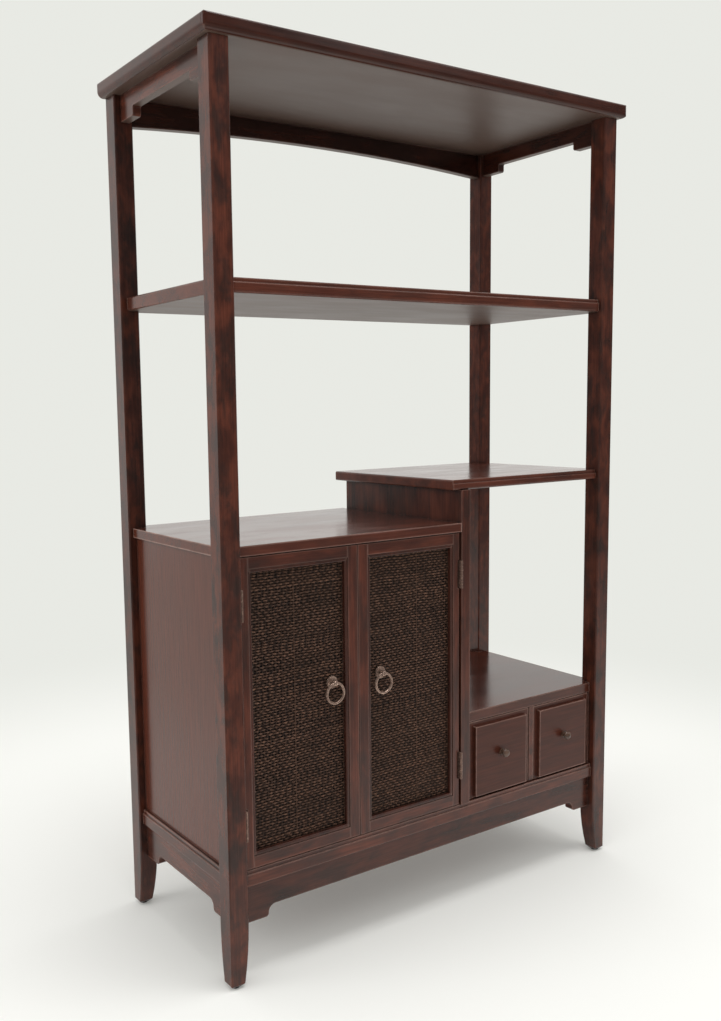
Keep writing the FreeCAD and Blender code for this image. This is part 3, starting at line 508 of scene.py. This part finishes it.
def weave(side, seed):
    """The door's basket weave as one mesh, with a tone at each point."""
    rng = np.random.default_rng(seed)
    low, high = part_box(f"door_{side}_woven_panel")
    width, height = high.x - low.x - 2 * WEAVE_EDGE, high.z - low.z - 2 * WEAVE_EDGE
    middle = low.y + WEAVE_DEPTH / 2
    vertices, faces, tones, first = [], [], [], 0
    wefts = weft_fibres(rng, low, width, height, middle)
    warps = warp_cords(rng, low, width, height, middle)
    for tubes, tone in (wefts, warps):
        count, points, sides, _ = tubes.shape
        vertices.append(tubes.reshape(-1, 3))
        faces.append(tube_faces(count, points, sides, first))
        tones.append(np.repeat(tone.ravel(), sides))
        first += count * points * sides
    piece = mesh_object(f"door_{side}_weave", np.concatenate(vertices), np.concatenate(faces))
    values = np.clip(np.concatenate(tones), 0, 1).astype(np.float32)
    piece.data.attributes.new("tone", "FLOAT", "POINT").data.foreach_set("value", values)
    return piece


def rounded_board(name, low, high, edge):
    """A board between two corners, with its edges eased."""
    corners = [(x, y, z) for x in (low.x, high.x) for y in (low.y, high.y) for z in (low.z, high.z)]
    faces = [(0, 1, 3, 2), (4, 6, 7, 5), (0, 4, 5, 1), (2, 3, 7, 6), (0, 2, 6, 4), (1, 5, 7, 3)]
    board = mesh_object(name, corners, faces, smooth=False)
    eased = board.modifiers.new("eased", "BEVEL")
    eased.width = edge
    eased.segments = 2
    return board


def dress_panel(side, seed, fibre):
    """Puts the weave and its backing board in the place of the plain panel."""
    node, body = f"door_{side}_woven_panel", f"door_{side}"
    low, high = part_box(node)
    cloth = weave(side, seed)
    cloth.data.materials.append(fibre)
    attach(cloth, body)
    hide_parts(node)
    front = Vector((low.x, low.y + WEAVE_DEPTH, low.z))
    board = rounded_board(f"door_{side}_weave_backing", front, high, BACKING_EASE)
    # The backing is darkened as painted shade in the gaps of the weave
    board.data.materials.append(sealed_wood(board.name, "z", seed, BACKING_PAINTED_SHADE))
    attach(board, body)


def rosette(side, brass):
    """The scalloped rosette of a ring pull: petals round a low dome, over the plain disc."""
    low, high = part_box(f"door_{side}_pull_mount")
    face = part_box(f"door_{side}_woven_panel")[0].y
    centre_x, centre_z = (low.x + high.x) / 2, (low.z + high.z) / 2
    around = ROSETTE_PETALS * PETAL_SEGMENTS
    vertices, faces = [], []
    for radius, rise, flute in ROSETTE_PROFILE:
        for k in range(around):
            turn = 2 * math.pi * k / around
            dip = 1 - abs(math.cos(ROSETTE_PETALS * turn / 2))
            reach = ROSETTE_RADIUS * radius * (1 - flute * FLUTE_REACH * dip ** 2)
            out = ROSETTE_HEIGHT * rise * (1 - flute * FLUTE_DROP * dip ** 2)
            across, up = reach * math.cos(turn), reach * math.sin(turn)
            vertices.append((centre_x + across, face - out, centre_z + up))
    for ring in range(len(ROSETTE_PROFILE) - 1):
        for k in range(around):
            after = (k + 1) % around
            first, second = ring * around, (ring + 1) * around
            faces.append((first + k, first + after, second + after, second + k))
    piece = mesh_object(f"door_{side}_rosette", vertices, faces)
    piece.data.materials.append(brass)
    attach(piece, f"door_{side}")


def grain_of(name):
    """The axis of a node's grain."""
    low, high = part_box(name)
    size = high - low
    return GRAIN.get(name) or "xyz"[max(range(3), key=lambda a: size[a])]


def finish_for(name, slot, seed):
    """The material of a node, by its slot in the record."""
    title, axis = f"{slot}_{name}", grain_of(name)
    tone = DARKER_TONE_AND_SHADE.get(name, 1.0)
    if name in ("drawer_left_front", "drawer_right_front"):
        return lacquer(title, axis, seed, tone=0.80, clouds=0.3, gloss=0.3, wear_and_highlight=1.3, level=0.28,
                       spread=(12.0, 110.0), recess_shade=0.8)
    if name.startswith("post_"):
        return lacquer(title, axis, seed, tone=1.05 * tone, clouds=1.15, wear_and_highlight=0.15, spread=(24.0, 52.0))
    if slot == "lacquered_frame":
        wear_and_highlight = 1.6 if name in RUBBED_AND_GLINTING else 0.4
        return lacquer(title, axis, seed, tone=tone, clouds=1.0, wear_and_highlight=wear_and_highlight, spread=(12.0, 40.0))
    if slot == "lacquered_board":
        wear_and_highlight = 1.6 if name in RUBBED_AND_GLINTING else 0.5
        return lacquer(title, axis, seed, tone=1.1 * tone, clouds=0.6, gloss=0.2, wear_and_highlight=wear_and_highlight)
    if slot == "side_panel":
        return lacquer(title, axis, seed, tone=1.1, clouds=0.1, gloss=0.22)
    if slot == "door_bead":
        # A darker bead: painted shade beside the weave
        return lacquer(title, axis, seed, tone=0.6, clouds=0.8, wear_and_highlight=0.35)
    if slot == "inner_board":
        return sealed_wood(title, axis, seed)
    if slot == "knob_wood":
        return turned_wood(title, seed)
    if slot == "antique_brass":
        return aged_brass(title, seed, *(PULL_BRASS if "pull" in name or "ring" in name else HINGE_BRASS))
    if slot == "steel":
        return plain_metal(title, seed)
    return moulded(title, seed, PLASTICS[slot])


def dress_nodes():
    """Gives each CAD node that stays its own cut of its material."""
    for seed, name in enumerate(sorted(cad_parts), start=1):
        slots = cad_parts[name].material_slots
        slot = slots[0].material.name.split(".")[0]
        if slot != "woven_panel":
            slots[0].material = finish_for(name, slot, seed)


def make_floor():
    """A pale floor that keeps the shadow and fades into the background."""
    ring = [(FLOOR_RADIUS * math.cos(2 * math.pi * k / FLOOR_SEGMENTS),
             FLOOR_RADIUS * math.sin(2 * math.pi * k / FLOOR_SEGMENTS), 0) for k in range(FLOOR_SEGMENTS)]
    floor = mesh_object("floor", ring, [tuple(range(FLOOR_SEGMENTS))], smooth=False)
    finish = Finish("floor")
    finish.shader.inputs["Base Color"].default_value = FLOOR_COLOUR
    finish.shader.inputs["Roughness"].default_value = FLOOR_ROUGHNESS
    finish.shader.inputs["Specular IOR Level"].default_value = FLOOR_SHEEN
    here = finish.node("ShaderNodeNewGeometry")
    far = finish.node("ShaderNodeVectorMath", operation="LENGTH")
    finish.tree.links.new(here.outputs["Position"], far.inputs[0])
    fade = finish.levels(far.outputs["Value"], FLOOR_FADE_FROM, FLOOR_FADE_TO, FLOOR_GLOW)
    glossy = finish.node("ShaderNodeLightPath").outputs["Is Glossy Ray"]
    dim = finish.sum(front_left(finish, here.outputs["Position"], far.outputs["Value"]), glossy, "MULTIPLY")
    fade = finish.sum(finish.sum(fade, dim, "MAXIMUM"), seen_by_eye(finish), "MULTIPLY")
    glow = finish.node("ShaderNodeEmission")
    finish.feed(glow.inputs["Color"], finish.mix(dim, BACKGROUND, FLOOR_DIM))
    blend = finish.node("ShaderNodeMixShader")
    output = finish.tree.nodes["Material Output"]
    finish.feed(blend.inputs[0], fade)
    finish.feed(blend.inputs[1], finish.shader.outputs[0])
    finish.feed(blend.inputs[2], glow.outputs[0])
    finish.feed(output.inputs["Surface"], blend.outputs[0])
    floor.data.materials.append(finish.material)


def front_left(finish, place, distance):
    """1 where the floor lies in the dimmer front of the room, as the lacquer mirrors it, and 0 behind."""
    near = finish.node("ShaderNodeVectorMath", operation="DOT_PRODUCT")
    finish.feed(near.inputs[0], place)
    near.inputs[1].default_value = FRONT_LEFT_SIDE
    forward = finish.node("ShaderNodeVectorMath", operation="DOT_PRODUCT")
    finish.feed(forward.inputs[0], place)
    forward.inputs[1].default_value = FRONT_SIDE
    ahead = finish.levels(forward.outputs["Value"], FRONT_FROM, FRONT_TO)
    away = finish.sum(finish.levels(distance, FRONT_FAR_FROM, FRONT_FAR_TO), ahead, "MULTIPLY")
    beside = finish.levels(near.outputs["Value"], FRONT_LEFT_FROM, FRONT_LEFT_TO)
    return finish.sum(beside, away, "MAXIMUM")


def seen_by_eye(finish):
    """1 for camera, glossy and transmission rays, and 0 for the rays that light things."""
    path = finish.node("ShaderNodeLightPath")
    total = finish.sum(path.outputs["Is Camera Ray"], path.outputs["Is Glossy Ray"], "MAXIMUM")
    return finish.sum(total, path.outputs["Is Transmission Ray"], "MAXIMUM")


def make_world():
    """A pale background for the camera, a pale wall in the gloss, and even light for the rest."""
    world = bpy.data.worlds.new("room")
    bpy.context.scene.world = world
    world.use_nodes = True
    tree = world.node_tree
    tree.nodes.clear()
    here = tree.nodes.new("ShaderNodeTexCoord")
    side = tree.nodes.new("ShaderNodeVectorMath")
    side.operation = "DOT_PRODUCT"
    side.inputs[1].default_value = BRIGHT_SIDE
    turn = tree.nodes.new("ShaderNodeMapRange")
    turn.interpolation_type = "SMOOTHSTEP"
    turn.inputs["From Min"].default_value = TURN_FROM
    turn.inputs["From Max"].default_value = TURN_TO
    sheen = colour_mix(tree, DIM_SHEEN, WALL_SHEEN)
    gloss = colour_mix(tree, ROOM_LIGHT, ROOM_LIGHT)
    view = colour_mix(tree, ROOM_LIGHT, BACKGROUND)
    path = tree.nodes.new("ShaderNodeLightPath")
    eye = tree.nodes.new("ShaderNodeMath")
    eye.operation = "MAXIMUM"
    room, output = tree.nodes.new("ShaderNodeBackground"), tree.nodes.new("ShaderNodeOutputWorld")
    for source, target in (
        (here.outputs["Generated"], side.inputs[0]), (side.outputs["Value"], turn.inputs["Value"]),
        (turn.outputs["Result"], sheen.inputs[0]), (sheen.outputs[2], gloss.inputs[7]),
        (path.outputs["Is Glossy Ray"], gloss.inputs[0]), (gloss.outputs[2], view.inputs[6]),
        (path.outputs["Is Camera Ray"], eye.inputs[0]), (path.outputs["Is Transmission Ray"], eye.inputs[1]),
        (eye.outputs[0], view.inputs[0]), (view.outputs[2], room.inputs["Color"]),
        (room.outputs[0], output.inputs["Surface"]),
    ):
        tree.links.new(source, target)


def colour_mix(tree, first, second):
    """A node that mixes two colours in a tree that is not a Finish."""
    made = tree.nodes.new("ShaderNodeMix")
    made.data_type = "RGBA"
    made.inputs[6].default_value = first
    made.inputs[7].default_value = second
    return made


def make_lamp(name, place, target, size, power):
    """A square white lamp that faces a point."""
    data = bpy.data.lights.new(name, "AREA")
    data.shape = "SQUARE"
    data.size = size
    data.energy = power
    lamp = bpy.data.objects.new(name, data)
    lamp.location = place
    lamp.rotation_euler = (Vector(target) - Vector(place)).to_track_quat("-Z", "Y").to_euler()
    bpy.context.scene.collection.objects.link(lamp)


def make_camera():
    """The photograph's own viewpoint."""
    yaw, pitch, roll = (math.radians(a) for a in (CAMERA_YAW, CAMERA_PITCH, CAMERA_ROLL))
    forward = Vector((math.sin(yaw) * math.cos(pitch), math.cos(yaw) * math.cos(pitch), -math.sin(pitch)))
    level = Vector((math.cos(yaw), -math.sin(yaw), 0))
    upright = level.cross(forward)
    right = level * math.cos(roll) + upright * math.sin(roll)
    up = upright * math.cos(roll) - level * math.sin(roll)
    data = bpy.data.cameras.new("camera")
    data.sensor_width = SENSOR
    data.lens = CAMERA_FOCUS / FRAME_HEIGHT * SENSOR
    data.shift_x = (FRAME_WIDTH / 2 - CENTRE_X) / FRAME_HEIGHT
    data.shift_y = (CENTRE_Y - FRAME_HEIGHT / 2) / FRAME_HEIGHT
    data.clip_start = NEAR_CLIP
    data.clip_end = FAR_CLIP
    camera = bpy.data.objects.new("camera", data)
    turn = Matrix((right, up, -forward)).transposed().to_4x4()
    camera.matrix_world = Matrix.Translation(CAMERA_PLACE) @ turn
    bpy.context.scene.collection.objects.link(camera)
    bpy.context.scene.camera = camera


make_camera()
make_world()
make_floor()
for lamp in LAMPS:
    make_lamp(*lamp)
bpy.context.scene.view_settings.view_transform = "Standard"

dress_nodes()
fibre = woven_fibre("woven_fibre")
petal_brass = aged_brass("petal_brass", PETAL_SEED, *ROSETTE_BRASS)
for number, door in enumerate(("left", "right"), start=1):
    dress_panel(door, PANEL_SEED + number, fibre)
    rosette(door, petal_brass)
